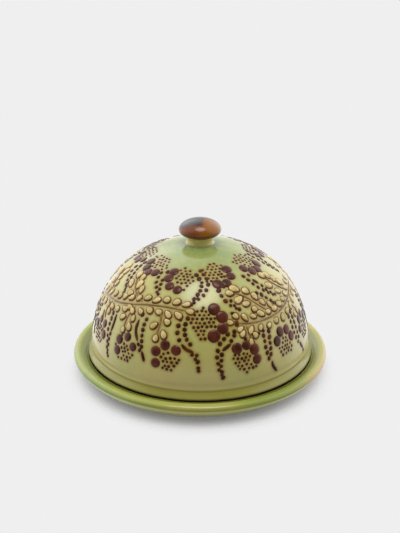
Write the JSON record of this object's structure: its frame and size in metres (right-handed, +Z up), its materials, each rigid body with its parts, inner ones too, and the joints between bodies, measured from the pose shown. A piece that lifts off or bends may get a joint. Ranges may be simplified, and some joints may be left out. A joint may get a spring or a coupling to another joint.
{
  "type": "butter dish",
  "caption": "Round glazed stoneware butter crock: a shallow footed dish and a domed lid with a mushroom knob that lifts straight off.",
  "frame": {"origin": "centre of the dish's foot, at the height of the surface it stands on", "axes": "+Z up along the axis that dish, lid and knob were turned about; +X and +Y are any two directions at right angles to it"},
  "size_m": [0.18, 0.18, 0.108],
  "materials": {
    "dish_glaze": "gloss",
    "lid_glaze": "gloss",
    "knob_glaze": "gloss"
  },
  "bodies": {
    "dish": {"dish": "dish_glaze"},
    "lid": {"lid_shell": "lid_glaze", "lid_knob": "knob_glaze"}
  },
  "joints": [
    {"name": "lid_lift", "type": "slide", "parent": "dish", "child": "lid", "axis": [0, 0, 1], "range_m": [0, 0.12]}
  ]
}
